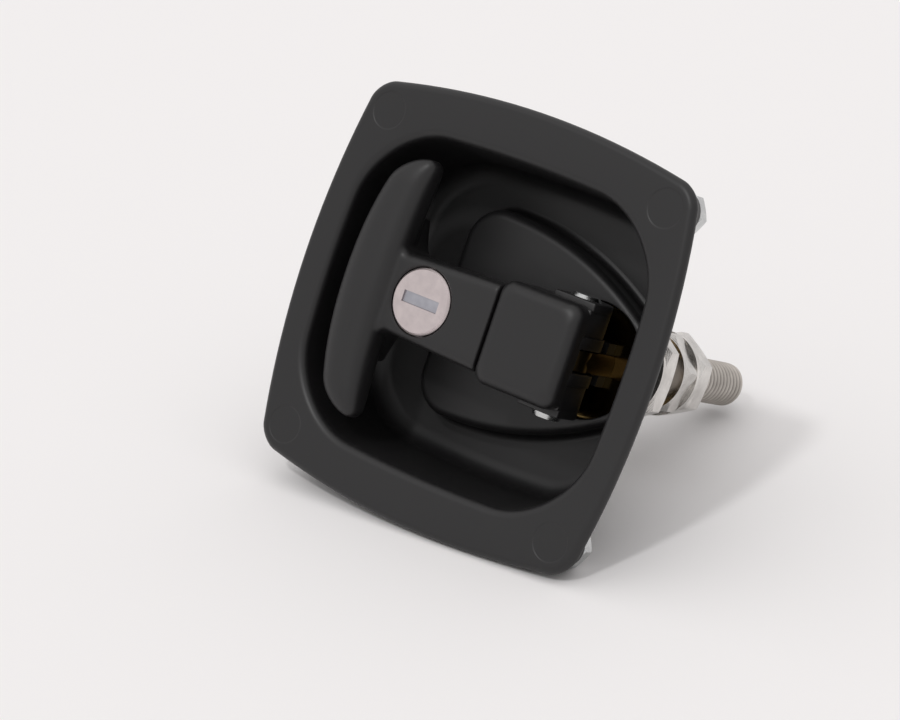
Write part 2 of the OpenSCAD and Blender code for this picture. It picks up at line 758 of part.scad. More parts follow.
module t_handle() {
    color(black) difference() {
        union() {
            loft([for (z = grip_levels) grip_ring(z)]);
            loft([for (x = stem_levels) stem_ring(x)]);
            box(stem_end - sink, tenon_end, tenon_front, tenon_back, -tenon_half_h, tenon_half_h);
        }
        rod_y(lock_x, 0, barrel_r + run_gap, -big, big);
        rod_y(lock_x + barrel_r, 0, barrel_pin_r + seat_gap, barrel_pin_y - end_gap, big);
        for (s = [-1, 1])
            rod_y(tenon_pin_x, s * tenon_pin_z, tenon_pin_r + seat_gap, -big, big);
    }
}

module handle_pins() {
    color(steel) for (s = [-1, 1]) rod_y(tenon_pin_x, s * tenon_pin_z, tenon_pin_r,
        tenon_front + end_gap, block_back - end_gap, tenon_pin_chamfer);
}

module lock_barrel() {
    color(nickel) difference() {
        ring_y(lock_x, 0, core_r + run_gap, barrel_r, core_start + end_gap, barrel_back);
        rod_y(lock_x + barrel_r, 0, barrel_pin_r + seat_gap, barrel_pin_y - end_gap, big);
    }
}

module barrel_pin() {
    color(steel) rod_y(lock_x + barrel_r, 0, barrel_pin_r, barrel_pin_y, stem_back - end_gap,
        barrel_pin_chamfer);
}

module lock_plug() {
    color(nickel) difference() {
        union() {
            rod_y(lock_x, 0, lock_face_r, face_y + face_chamfer, core_start);
            translate([lock_x, face_y, 0]) rotate([-90, 0, 0])
                cylinder(h = face_chamfer, r1 = lock_face_r - face_chamfer, r2 = lock_face_r);
            rod_y(lock_x, 0, core_r, core_start, core_end);
            rod_y(lock_x, 0, spigot_r, core_end, core_end + spigot_l);
        }
        box(lock_x - key_slot_l / 2, lock_x + key_slot_l / 2, face_y - sink, shutter_y + run_gap,
            -key_slot_h / 2, key_slot_h / 2);
        box(lock_x - pocket_half_l, lock_x + pocket_half_l, pocket_y, pocket_end,
            pocket_low, pocket_top);
        box(lock_x - keyway_l / 2, lock_x + keyway_l / 2, pocket_y, core_end - sink,
            -keyway_h / 2, keyway_h / 2);
        for (j = [0:wafer_count - 1]) let (y = wafer_start + j * wafer_pitch)
            box(lock_x - big, lock_x + big, y - seat_gap, y + wafer_t + seat_gap,
                -wafer_half_h - seat_gap, wafer_half_h + seat_gap);
        ring_y(lock_x, 0, clip_groove_r, core_r + sink, clip_y, clip_y + clip_t + end_gap);
        rod_z(lock_x, bolt_pin_y, bolt_pin_r + seat_gap, -big, big);
        rod_x(hinge_y, hinge_z, shutter_pin_r + seat_gap, lock_x - big, lock_x + shutter_pin_l / 2);
    }
}

module lock_wafers() {
    color(brass) for (j = [0:wafer_count - 1]) let (y = wafer_start + j * wafer_pitch) difference() {
        box(lock_x - wafer_half_l, lock_x + wafer_half_l, y, y + wafer_t, -wafer_half_h, wafer_half_h);
        box(lock_x - wafer_hole, lock_x + wafer_hole, -big, big, -keyway_h / 2, keyway_h / 2);
    }
}

module keyway_shutter() {
    color(nickel) difference() {
        union() {
            box(lock_x - shutter_half_l, lock_x + shutter_half_l, shutter_y, shutter_y + shutter_t,
                shutter_low, hinge_z);
            rod_x(hinge_y, hinge_z, shutter_t / 2, lock_x - shutter_half_l, lock_x + shutter_half_l);
        }
        rod_x(hinge_y, hinge_z, shutter_pin_r + run_gap, lock_x - big, lock_x + big);
    }
}

module shutter_pin() {
    color(steel) rod_x(hinge_y, hinge_z, shutter_pin_r, lock_x - shutter_pin_l / 2,
        lock_x + shutter_pin_l / 2 - end_gap);
}

module plug_clip() {
    y = clip_y + end_gap / 2;
    color(steel) difference() {
        ring_y(lock_x, 0, clip_groove_r + run_gap, clip_r, y, y + clip_t);
        box(lock_x - clip_mouth, lock_x + clip_mouth, -big, big, -big, 0);
    }
}

module lock_bolt() {
    color(zinc) difference() {
        union() {
            rod_y(lock_x, 0, socket_r, core_end + end_gap, socket_end);
            rod_y(lock_x, 0, bolt_shank_r, socket_end - lap, bolt_arm_y + bolt_arm_t);
            box(lock_x, lock_x + bolt_arm, bolt_arm_y, bolt_arm_y + bolt_arm_t, -bolt_half_w, bolt_half_w);
        }
        rod_y(lock_x, 0, spigot_r + seat_gap, -big, core_end + spigot_l + end_gap);
        rod_z(lock_x, bolt_pin_y, bolt_pin_r + seat_gap, -big, big);
    }
}

module bolt_pin() {
    color(steel) rod_z(lock_x, bolt_pin_y, bolt_pin_r, end_gap - socket_r, socket_r - end_gap);
}

pan();
mounting_studs();
stud_nuts();
hub();
thrust_plate();
hub_seal();
hub_washer();
hub_nut();
shaft();
jam_nut();
flat_washer();
spring_washer();
pawl_nut();
hinge_pin();
pin_retainer();
pivot_block();
t_handle();
handle_pins();
lock_barrel();
barrel_pin();
lock_plug();
lock_wafers();
keyway_shutter();
shutter_pin();
plug_clip();
lock_bolt();
bolt_pin();
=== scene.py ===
import math

import bmesh
import bpy
import numpy as np
from mathutils import Matrix, Vector


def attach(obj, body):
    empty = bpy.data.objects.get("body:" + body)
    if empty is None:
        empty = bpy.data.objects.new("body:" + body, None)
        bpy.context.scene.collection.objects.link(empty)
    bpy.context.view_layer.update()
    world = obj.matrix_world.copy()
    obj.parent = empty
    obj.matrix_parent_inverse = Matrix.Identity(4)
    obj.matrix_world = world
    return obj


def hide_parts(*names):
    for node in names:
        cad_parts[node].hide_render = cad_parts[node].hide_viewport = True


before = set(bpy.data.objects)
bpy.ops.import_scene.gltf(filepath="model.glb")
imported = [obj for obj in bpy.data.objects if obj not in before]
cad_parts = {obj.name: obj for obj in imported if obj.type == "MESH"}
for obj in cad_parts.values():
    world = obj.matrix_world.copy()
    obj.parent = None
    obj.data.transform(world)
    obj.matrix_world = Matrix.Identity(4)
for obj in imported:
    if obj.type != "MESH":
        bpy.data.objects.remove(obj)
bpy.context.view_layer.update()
mm = 0.001
print("frame loaded")


def meshPiece(name, verts, faces):  # verts in millimetres
    mesh = bpy.data.meshes.new(name)
    mesh.from_pydata((np.asarray(verts, float) * mm).tolist(), [], faces)
    bm = bmesh.new()
    bm.from_mesh(mesh)
    bmesh.ops.recalc_face_normals(bm, faces=bm.faces)
    bm.to_mesh(mesh)
    bm.free()
    obj = bpy.data.objects.new(name, mesh)
    bpy.context.collection.objects.link(obj)
    return obj


def loft(name, rings, closed=False):  # skin through rings of equal count
    n, count = len(rings[0]), len(rings)
    faces = []
    for i in range(count if closed else count - 1):
        a, b = i * n, (i + 1) % count * n
        faces += [(a + j, a + (j + 1) % n, b + (j + 1) % n, b + j) for j in range(n)]
    if not closed:
        faces.append(tuple(range(n - 1, -1, -1)))
        faces.append(tuple(range((count - 1) * n, count * n)))
    return meshPiece(name, np.concatenate([np.asarray(r, float) for r in rings]), faces)


def circle(x, z, r, y, steps=96):
    a = np.arange(steps) * 2 * math.pi / steps
    return np.c_[x + r * np.cos(a), np.full(steps, y), z + r * np.sin(a)]


def turned(name, x, z, profile, steps=96):  # solid of revolution along Y from radius and depth pairs
    return loft(name, [circle(x, z, r, y, steps) for r, y in profile])


def hollowTurned(name, x, z, profile, steps=96):  # the profile is a closed loop
    r, y = np.array(profile, float).T
    rings = [np.c_[x + r * math.cos(a), y,
        z + r * math.sin(a)] for a in np.arange(steps) * 2 * math.pi / steps]
    return loft(name, rings, closed=True)


def atDepth(outline, y):
    return np.c_[outline[:, 0], np.full(len(outline), y), outline[:, 1]]


def prism(name, outline, y0, y1):
    return loft(name, [atDepth(outline, y0), atDepth(outline, y1)])


def prismZ(name, outline, z0, z1):  # outline in X and Y
    return loft(name, [np.c_[outline, np.full(len(outline), z)] for z in (z0, z1)])


def arc(cx, cy, r, start, end, steps):
    a = np.radians(np.linspace(start, end, steps + 1))
    return np.c_[cx + r * np.cos(a), cy + r * np.sin(a)]


def bowedRect(hw, hh, r, bow, cornerSteps, sideSteps):
    pts = []
    for k, (sx, sz) in enumerate(((1, 1), (-1, 1), (-1, -1), (1, -1))):
        tx, tz = ((-1, 1), (-1, -1), (1, -1), (1, 1))[k]
        pts += arc(sx * (hw - r), sz * (hh - r), r, 90 * k, 90 * (k + 1), cornerSteps).tolist()
        ex, ez = r * round(math.cos(math.pi / 2 * (k + 1))), r * round(math.sin(math.pi / 2 * (k + 1)))
        for u in np.arange(1, sideSteps) / sideSteps:
            pts.append([(sx + (tx - sx) * u) * (hw - r) + ex, (sz + (tz - sz) * u) * (hh - r) + ez])
    x, z = np.array(pts).T
    return np.c_[x + bow * (1 - (z / hh) ** 2) * x / hw, z + bow * (1 - (x / hw) ** 2) * z / hh]


def settle(obj):  # applies the modifiers
    bpy.context.view_layer.update()
    shaped = bpy.data.meshes.new_from_object(obj.evaluated_get(bpy.context.evaluated_depsgraph_get()))
    obj.modifiers.clear()
    obj.data = shaped
    return obj


def carve(obj, tool, operation="DIFFERENCE"):
    step = obj.modifiers.new("carve", "BOOLEAN")
    step.operation, step.solver, step.object = operation, "EXACT", tool
    settle(obj)
    bpy.data.objects.remove(tool)
    return obj


def soften(obj, width, segments=3, limit=40):
    step = obj.modifiers.new("soften", "BEVEL")
    step.width, step.segments, step.limit_method = width * mm, segments, "ANGLE"
    step.angle_limit = math.radians(limit)
    return settle(obj)


def gather(name, *parts):  # one mesh out of several
    bm = bmesh.new()
    for part in parts:
        bm.from_mesh(part.data)
        bpy.data.objects.remove(part)
    mesh = bpy.data.meshes.new(name)
    bm.to_mesh(mesh)
    bm.free()
    obj = bpy.data.objects.new(name, mesh)
    bpy.context.collection.objects.link(obj)
    return obj


def shade(obj, limit=38):
    obj.data.polygons.foreach_set("use_smooth", [True] * len(obj.data.polygons))
    obj.data.set_sharp_from_angle(angle=math.radians(limit))
    return obj


def fit(obj, body, slotName, material, *nodes):
    obj.data.materials.clear()
    obj.data.materials.append(material)
    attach(obj, body)
    if nodes:
        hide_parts(*nodes)


def newGroup(name, inputs, outputs):
    group = bpy.data.node_groups.new(name, "ShaderNodeTree")
    for label, kind, value in inputs:
        group.interface.new_socket(label, in_out="INPUT",
            socket_type="NodeSocket" + kind).default_value = value
    for label, kind in outputs:
        group.interface.new_socket(label, in_out="OUTPUT", socket_type="NodeSocket" + kind)
    return group, group.nodes.new("NodeGroupInput"), group.nodes.new("NodeGroupOutput")


def addNode(tree, kind, links=(), **settings):  # links: (input name or index, source socket or value)
    node = tree.nodes.new("ShaderNode" + kind)
    for key, value in settings.items():
        setattr(node, key, value)
    for key, source in links:
        if isinstance(source, bpy.types.NodeSocket):
            tree.links.new(source, node.inputs[key])
        else:
            node.inputs[key].default_value = source
    return node


def maths(tree, operation, *values):
    return addNode(tree, "Math", list(enumerate(values)), operation=operation).outputs[0]


def mixColour(tree, factor, a, b):
    return addNode(tree, "Mix", [(0, factor), (6, a), (7, b)], data_type="RGBA").outputs[2]


def ramp(tree, value, low, high):  # 0 at low, 1 at high
    links = [("Value", value), ("From Min", low), ("From Max", high)]
    return addNode(tree, "MapRange", links).outputs["Result"]


def place(tree):
    return addNode(tree, "TexCoord").outputs["Object"]


def noise(tree, scale, detail=2.0, rough=0.5):
    return addNode(tree, "TexNoise", [("Vector", place(tree)), ("Scale", scale), ("Detail", detail),
        ("Roughness", rough)]).outputs["Fac"]


def makeCoatGrain():  # fine texture of a powder coat
    group, given, made = newGroup("coatGrain", [("Scale", "Float", 2400.0), ("Ripple", "Float", 0.35)],
        [("Height", "Float")])
    fine = noise(group, given.outputs["Scale"], 3.0, 0.55)
    broad = noise(group, maths(group, "MULTIPLY", given.outputs["Scale"], 0.22), 2.0)
    height = maths(group, "MULTIPLY_ADD", broad, given.outputs["Ripple"], fine)
    group.links.new(height, made.inputs["Height"])
    return group


def makeEdgeRub():  # paler where hands and tools touch the edges
    group, given, made = newGroup("edgeRub", [("Colour", "Color", (0.02, 0.02, 0.02, 1)),
        ("Rubbed", "Color", (0.06, 0.06, 0.06, 1)), ("Amount", "Float", 0.5)],
            [("Colour", "Color"), ("Mask", "Float")])
    edge = addNode(group, "NewGeometry").outputs["Pointiness"]
    edge = ramp(group, edge, 0.515, 0.6)
    patchy = ramp(group, noise(group, 160.0, 4.0, 0.6), 0.35, 0.7)
    mask = maths(group, "MULTIPLY", maths(group, "MULTIPLY", edge, patchy), given.outputs["Amount"])
    group.links.new(mixColour(group, mask, given.outputs["Colour"], given.outputs["Rubbed"]),
        made.inputs["Colour"])
    group.links.new(mask, made.inputs["Mask"])
    return group


def makeRestDust():  # a little dust on what faces up
    group, given, made = newGroup("restDust", [("Colour", "Color", (0.02, 0.02, 0.02, 1)),
        ("Dust", "Color", (0.3, 0.28, 0.25, 1)), ("Amount", "Float", 0.05)],
            [("Colour", "Color"), ("Mask", "Float")])
    up = addNode(group, "SeparateXYZ", [(0, addNode(group, "TexCoord").outputs["Normal"])]).outputs["Z"]
    up = ramp(group, up, 0.3, 1.0)
    specks = ramp(group, noise(group, 900.0, 5.0, 0.7), 0.5, 0.8)
    mask = maths(group, "MULTIPLY", maths(group, "MULTIPLY", up, specks), given.outputs["Amount"])
    group.links.new(mixColour(group, mask, given.outputs["Colour"], given.outputs["Dust"]),
        made.inputs["Colour"])
    group.links.new(mask, made.inputs["Mask"])
    return group


def makePlating():  # cloudy tone and gloss of a plated surface
    group, given, made = newGroup("plating",
        [("Light", "Color", (0.8, 0.8, 0.8, 1)), ("Dark", "Color", (0.6, 0.6, 0.6, 1)),
        ("Scale", "Float", 180.0), ("Gloss", "Float", 0.25), ("Spread", "Float", 0.15)],
        [("Colour", "Color"), ("Roughness", "Float"), ("Height", "Float")])
    cloud = noise(group, given.outputs["Scale"], 4.0, 0.6)
    tone = ramp(group, cloud, 0.3, 0.7)
    group.links.new(mixColour(group, tone, given.outputs["Dark"], given.outputs["Light"]),
        made.inputs["Colour"])
    group.links.new(maths(group, "MULTIPLY_ADD", cloud, given.outputs["Spread"], given.outputs["Gloss"]),
        made.inputs["Roughness"])
    group.links.new(noise(group, maths(group, "MULTIPLY", given.outputs["Scale"], 9.0), 3.0),
        made.inputs["Height"])
    return group


def makeLatheLines():  # rings left by the tool round an axis along Y
    group, given, made = newGroup("latheLines",
        [("Centre", "Vector", (0, 0, 0)), ("Spacing", "Float", 0.0003)], [("Height", "Float")])
    flat = addNode(group, "VectorMath", [(0, place(group)), (1, (1, 0, 1))],
        operation="MULTIPLY").outputs["Vector"]
    radius = addNode(group, "VectorMath", [(0, flat), (1, given.outputs["Centre"])],
        operation="DISTANCE").outputs["Value"]
    turn = maths(group, "MULTIPLY", maths(group, "DIVIDE", radius, given.outputs["Spacing"]), 2 * math.pi)
    group.links.new(maths(group, "SINE", turn), made.inputs["Height"])
    return group


def makeSinkMarks():  # shallow round marks in front of the four studs
    group, given, made = newGroup("sinkMarks", [("Spread", "Float", 0.0397), ("Radius", "Float", 0.0048)],
        [("Height", "Float")])
    spot = addNode(group, "SeparateXYZ", [(0, place(group))])
    dx = maths(group, "SUBTRACT", maths(group, "ABSOLUTE", spot.outputs["X"]), given.outputs["Spread"])
    dz = maths(group, "SUBTRACT", maths(group, "ABSOLUTE", spot.outputs["Z"]), given.outputs["Spread"])
    away = maths(group, "SQRT",
        maths(group, "ADD", maths(group, "MULTIPLY", dx, dx), maths(group, "MULTIPLY", dz, dz)))
    rim = addNode(group, "MapRange",
        [("Value", away), ("From Min", maths(group, "SUBTRACT", given.outputs["Radius"], 0.0005)),
        ("From Max", given.outputs["Radius"])], interpolation_type="SMOOTHSTEP").outputs["Result"]
    group.links.new(rim, made.inputs["Height"])
    return group


coatGrain, edgeRub, restDust = makeCoatGrain(), makeEdgeRub(), makeRestDust()
plating, latheLines, sinkMarks = makePlating(), makeLatheLines(), makeSinkMarks()


def useGroup(tree, group, **values):
    node = addNode(tree, "Group", node_tree=group)
    for key, value in values.items():
        if isinstance(value, bpy.types.NodeSocket):
            tree.links.new(value, node.inputs[key])
        else:
            node.inputs[key].default_value = value
    return node


def newMaterial(name):
    material = bpy.data.materials.new(name)
    material.use_nodes = True
    tree = material.node_tree
    return material, tree, tree.nodes["Principled BSDF"]


def bump(tree, height, depth, below=None):  # depth in millimetres
    links = [("Height", height), ("Distance", depth * mm), ("Strength", 1.0)]
    if below is not None:
        links.append(("Normal", below))
    return addNode(tree, "Bump", links).outputs["Normal"]


coat = dict(colour=(0.0090, 0.0086, 0.0092, 1), rubbed=(0.03, 0.029, 0.03, 1), roughness=0.44,
    grain=0.014, dust=0.05)


def makeCoat(name, rub, marks):
    material, tree, surface = newMaterial(name)
    rubbed = useGroup(tree, edgeRub, Colour=coat["colour"], Rubbed=coat["rubbed"], Amount=rub)
    dusted = useGroup(tree, restDust, Colour=rubbed.outputs["Colour"], Amount=coat["dust"])
    tree.links.new(dusted.outputs["Colour"], surface.inputs["Base Color"])
    gloss = maths(tree, "MULTIPLY_ADD", noise(tree, 70.0, 3.0), 0.1, coat["roughness"] - 0.05)
    tree.links.new(maths(tree, "MULTIPLY_ADD", rubbed.outputs["Mask"], -0.1, gloss),
        surface.inputs["Roughness"])
    normal = None
    if marks:
        normal = bump(tree, useGroup(tree, sinkMarks).outputs["Height"], 0.12)
    grain = useGroup(tree, coatGrain).outputs["Height"]
    tree.links.new(bump(tree, grain, coat["grain"], normal), surface.inputs["Normal"])
    return material


def makeMetal(name, light, dark, gloss, spread, scale=180.0, lines=None):
    material, tree, surface = newMaterial(name)
    skin = useGroup(tree, plating, Light=(*light, 1), Dark=(*dark, 1), Scale=scale, Gloss=gloss,
        Spread=spread)
    tree.links.new(skin.outputs["Colour"], surface.inputs["Base Color"])
    tree.links.new(skin.outputs["Roughness"], surface.inputs["Roughness"])
    surface.inputs["Metallic"].default_value = 1.0
    normal = bump(tree, skin.outputs["Height"], 0.004)
    if lines:
        rings = useGroup(tree, latheLines, Centre=(lines[0] * mm, 0, 0), Spacing=lines[1] * mm)
        normal = bump(tree, rings.outputs["Height"], lines[2], normal)
    tree.links.new(normal, surface.inputs["Normal"])
    return material


panCoat = makeCoat("panCoat", 0.35, True)
gripCoat = makeCoat("gripCoat", 0.6, False)
brightZinc = makeMetal("brightZinc", (0.80, 0.78, 0.75), (0.54, 0.52, 0.50), 0.14, 0.16,
    lines=(22.2, 0.35, 0.002))
studZinc = makeMetal("studZinc", (0.70, 0.71, 0.70), (0.48, 0.49, 0.50), 0.16, 0.16)
yellowZinc = makeMetal("yellowZinc", (0.27, 0.19, 0.065), (0.19, 0.125, 0.05), 0.10, 0.12, scale=90.0,
    lines=(22.2, 0.4, 0.002))
springSteel = makeMetal("springSteel", (0.42, 0.42, 0.43), (0.28, 0.28, 0.29), 0.3, 0.2)
satinNickel = makeMetal("satinNickel", (0.66, 0.585, 0.58), (0.57, 0.505, 0.505), 0.34, 0.12, scale=420.0)
shutterNickel = makeMetal("shutterNickel", (0.46, 0.46, 0.50), (0.38, 0.38, 0.42), 0.3, 0.12, scale=420.0)
waferBrass = makeMetal("waferBrass", (0.62, 0.45, 0.20), (0.50, 0.34, 0.15), 0.3, 0.15)


# root is a painted shade colour for the thread's grooves
shaftLook = dict(x=22.2, light=(0.58, 0.54, 0.50, 1), dark=(0.40, 0.37, 0.34, 1),
    root=(0.03, 0.027, 0.024, 1),
    brownAndShade=(0.11, 0.078, 0.036, 1), rootR=4.6, crestR=5.4, flatEnd=39.0, threadStart=41.0)


def makeShaftSteel():  # brown flats in the dish, their yellow-zinc tone painted dark as shade there; a bright thread behind the panel with painted shade darkening its roots
    material, tree, surface = newMaterial("shaftSteelAndShade")
    spot = addNode(tree, "SeparateXYZ", [(0, place(tree))])
    skin = useGroup(tree, plating, Light=shaftLook["light"], Dark=shaftLook["dark"], Gloss=0.24,
        Spread=0.18)
    dx = maths(tree, "SUBTRACT", spot.outputs["X"], shaftLook["x"] * mm)
    zz = maths(tree, "POWER", spot.outputs["Z"], 2.0)
    radius = maths(tree, "SQRT", maths(tree, "ADD", maths(tree, "MULTIPLY", dx, dx), zz))
    # painted shade: the thread's roots are mixed towards the near-black root colour by radius, standing in
    # for shade in the grooves
    crest = ramp(tree, radius, shaftLook["rootR"] * mm, shaftLook["crestR"] * mm)
    thread = mixColour(tree, crest, shaftLook["root"], skin.outputs["Colour"])
    # painted shade: up to flatEnd the shaft is painted dark brown; the brown is the yellow-zinc tone, and
    # its darkness is painted shade for the dish
    along = ramp(tree, spot.outputs["Y"], shaftLook["flatEnd"] * mm, shaftLook["threadStart"] * mm)
    tree.links.new(mixColour(tree, along, shaftLook["brownAndShade"], thread), surface.inputs["Base Color"])
    tree.links.new(skin.outputs["Roughness"], surface.inputs["Roughness"])
    surface.inputs["Metallic"].default_value = 1.0
    tree.links.new(bump(tree, skin.outputs["Height"], 0.004), surface.inputs["Normal"])
    return material


shaftSteelAndShade = makeShaftSteel()


def makeRubber():
    material, tree, surface = newMaterial("sealRubber")
    surface.inputs["Base Color"].default_value = (0.012, 0.012, 0.012, 1)
    surface.inputs["Roughness"].default_value = 0.55
    tree.links.new(bump(tree, noise(tree, 1500.0, 3.0), 0.01), surface.inputs["Normal"])
    return material


sealRubber = makeRubber()
print("materials made")

nodeLooks = {"mounting_studs": studZinc, "stud_nuts": studZinc, "hub": yellowZinc,
    "thrust_plate": gripCoat, "hub_seal": sealRubber,
    "hub_washer": brightZinc, "hub_nut": brightZinc, "jam_nut": brightZinc, "flat_washer": brightZinc,
    "spring_washer": springSteel, "pawl_nut": brightZinc, "hinge_pin": studZinc, "pin_retainer": studZinc,
    "handle_pins": springSteel, "lock_barrel": satinNickel,
    "barrel_pin": springSteel, "lock_plug": satinNickel,
    "lock_wafers": waferBrass, "keyway_shutter": shutterNickel,
    "shutter_pin": springSteel, "plug_clip": springSteel,
    "lock_bolt": studZinc, "bolt_pin": springSteel}
for nodeName, look in nodeLooks.items():
    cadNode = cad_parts[nodeName]
    for holder in cadNode.material_slots:
        holder.material = look
    if not cadNode.material_slots:
        cadNode.data.materials.append(look)

# Pan: cast shell, island, hub well and stud bosses
pan = dict(size=101.6, bow=4.95, cornerR=4.8, t=2.5, edgeR=1.7, seatH=0.2, seatMargin=1, mouthW=84.8,
    mouthH=76.8,
    mouthBow=2.4, mouthR=18.5, lipR=2.2, floor=25.5, draft=2, lean=0.2, fillet=5,
    wall=2.2, rootR=1.0, cornerSteps=20, sideSteps=20)
island = dict(top=17.1, halfH=26.0, sideR=95, crestX=-13, left=-21.0, cornerR=9.2, edgeR=2.4, footR=1.8)
well = dict(x=22.2, r=14.0, floor=23.6, bore=9.55, back=30.0, wall=1.6, turn=24.0, backR=12.4, rimR=0.35)
studs = dict(spread=39.7, bossR=5.4, bossH=4.6, hole=2.42)
slotCut = dict(x0=-18.94, x1=-6.64, halfH=3.5, r=0.7)


def flangeLine(grow):
    half = pan["size"] / 2 - pan["bow"] + grow
    return bowedRect(half, half, pan["cornerR"] + grow, pan["bow"], pan["cornerSteps"], pan["sideSteps"])


def mouthLine(grow):
    return bowedRect(pan["mouthW"] / 2 - pan["mouthBow"] + grow, pan["mouthH"] / 2 - pan["mouthBow"] + grow,
        pan["mouthR"] + grow, pan["mouthBow"], pan["cornerSteps"], pan["sideSteps"])


def leaned(outline, y):  # the right half leans in with depth
    k = 1 - pan["lean"] * max(0, y) / (pan["mouthW"] / 2)
    return atDepth(np.c_[np.where(outline[:, 0] > 0, outline[:, 0] * k, outline[:, 0]), outline[:, 1]], y)


def panShell():
    turn = pan["floor"] - pan["fillet"]
    inset = -pan["draft"] - pan["fillet"]
    rings = [leaned(mouthLine(g), y) for g, y in arc(inset, turn, pan["fillet"] + pan["wall"], 90, 0, 8)]
    rings += [leaned(mouthLine(g), y) for g,
        y in arc(pan["wall"] + pan["rootR"], pan["rootR"], pan["rootR"], 180, 270, 4)]
    rings += [atDepth(flangeLine(-pan["seatMargin"] - 0.15), 0),
        atDepth(flangeLine(-pan["seatMargin"]), -0.05),
        atDepth(flangeLine(-pan["seatMargin"]), -pan["seatH"]), atDepth(flangeLine(-0.15), -pan["seatH"])]
    rings += [atDepth(flangeLine(g), y) for g,
        y in arc(-pan["edgeR"], pan["edgeR"] - pan["t"], pan["edgeR"], 0, -90, 10)]
    rings += [leaned(mouthLine(g), y) for g,
        y in arc(pan["lipR"], pan["lipR"] - pan["t"], pan["lipR"], -90, -180, 12)]
    rings += [leaned(mouthLine(g), y) for g, y in arc(inset, turn, pan["fillet"], 0, 90, 10)]
    return loft("panShell", rings)


def islandSide(x, inset):
    drop = np.sqrt((island["sideR"] - inset) ** 2 - (x - island["crestX"]) ** 2) - island["sideR"]
    return drop + island["halfH"]


def islandLine(inset, reach=99.0):  # the right end runs into the dish wall
    endX, startX = pan["mouthW"] / 2 - 2 * pan["draft"], island["left"] + island["cornerR"]
    z = np.linspace(0, islandSide(endX, inset), 12)
    bowed = pan["mouthBow"] * (z / (pan["mouthH"] / 2 - pan["mouthBow"])) ** 2
    right = pan["mouthW"] / 2 - 0.94 * pan["draft"] - bowed
    x = np.linspace(endX, startX, 60)[1:-1]
    corner = arc(startX, islandSide(startX, 0) - island["cornerR"], island["cornerR"] - inset, 90, 180, 24)
    upper = np.concatenate([np.c_[right, z], np.c_[x, islandSide(x, inset)], corner])
    line = np.concatenate([upper, upper[:0:-1] * (1, -1)])
    return np.c_[np.minimum(line[:, 0], reach), line[:, 1]]


def panSkin():
    reach = pan["mouthW"] / 2 - pan["draft"] - 4 * pan["wall"]
    hollow = islandLine(pan["wall"] + 0.4, reach)
    shell = carve(panShell(), prism("hollow", hollow, pan["floor"] - 1, pan["floor"] + 9))
    foot, top, floor = island["footR"], island["top"], pan["floor"]
    rings = [leaned(islandLine(-foot), floor + 0.4)]
    rings += [leaned(islandLine(-o), y) for o, y in arc(foot, floor - foot, foot, 90, 180, 6)]
    rings += [leaned(islandLine(-o), y) for o,
        y in arc(-island["edgeR"], top + island["edgeR"], island["edgeR"], 0, -90, 10)]
    mound = carve(loft("mound", rings), prism("underside", hollow, top + pan["wall"], floor + 9))
    carve(mound,
        turned("wellCut", well["x"], 0, [(well["r"] + 0.25, 5), (well["r"] + 0.25, floor + 3)], 160))
    midX, halfW = (slotCut["x0"] + slotCut["x1"]) / 2, (slotCut["x1"] - slotCut["x0"]) / 2
    slotLine = bowedRect(halfW, slotCut["halfH"], slotCut["r"], 0, 6, 1) + (midX, 0)
    carve(mound, prism("boltCut", slotLine, top - 3, top + 4))
    rim = arc(well["r"] + well["rimR"], top + well["rimR"], well["rimR"], 180, 270, 4).tolist()
    boss = well["r"] + well["wall"]
    cup = hollowTurned("wellCup", well["x"], 0,
        [(well["bore"], well["back"]), (well["bore"], well["floor"] + 0.4),
        (well["bore"] + 0.4, well["floor"]), (well["r"] - 0.5, well["floor"]), (well["r"],
            well["floor"] - 0.5)] + rim
        + [(well["r"] + 0.8, top + 0.15), (boss, top + 1), (boss, well["turn"]),
            (well["backR"] + 0.2, well["back"] - 0.3), (well["backR"] - 0.1, well["back"])], 160)
    parts = [shell, mound, cup]
    for sx in (-1, 1):
        for sz in (-1, 1):
            edge = arc(studs["bossR"] - 0.6, studs["bossH"] - 0.6, 0.6, 90, 0, 4).tolist()
            parts.append(hollowTurned("boss", sx * studs["spread"], sz * studs["spread"],
                [(studs["hole"], -1),
                (studs["hole"], studs["bossH"])] + edge + [(studs["bossR"], 0.5), (studs["bossR"] + 0.5,
                    -0.1), (studs["bossR"] + 0.5, -1)], 48))
    return shade(gather("panSkin", *parts))


fit(panSkin(), "pan", "black_coat", panCoat, "pan")
print("pan built")

# T-handle: crescent grip blended into a flat stem
grip = dict(w=13.9, inner=-23.4, halfL=32.0, taper=3.8, endL=7.2, tipR=2.4, lean=2.1, front=5.8, t=11.6,
    thin=3.2)
stem = dict(end=5.35, halfH=10.8, halfHGrip=9.6, front=2.7, back=9.4, edgeR=2.2, flare=1.2, sink=3.0,
    flareL=1.8)
tenon = dict(x1=14.75, front=-0.4, back=8.8, halfH=6)
lock = dict(x=-13.94, bore=8.35)


def roundOff(z, length):  # falls from 1 to 0 over the end of the grip
    u = max(0, abs(z) - grip["halfL"] + length) / length
    return math.sqrt(max(0, 1 - u * u))


def gripRing(z):
    end, far = roundOff(z, grip["endL"]), abs(z) / grip["halfL"]
    line = grip["inner"] + grip["lean"] * far**3 - grip["tipR"]
    inner = line + grip["tipR"] * roundOff(z, grip["tipR"])
    outer = line - (grip["w"] - grip["tipR"] - grip["taper"] * far**2) * end
    w, x = max(inner - outer, 1.2), (inner + outer) / 2
    t = (grip["t"] - grip["thin"] * far**2) * (0.35 + 0.65 * end)
    y = -grip["front"] + 0.4 * (grip["t"] - t) + t / 2
    a = np.arange(56) * 2 * math.pi / 56
    c, s = np.cos(a), np.sin(a)
    return np.c_[x + w / 2 * np.sign(c) * np.abs(c) ** 0.8, y + t / 2 * np.sign(s) * np.abs(s) ** 0.8,
        np.full(56, z)]


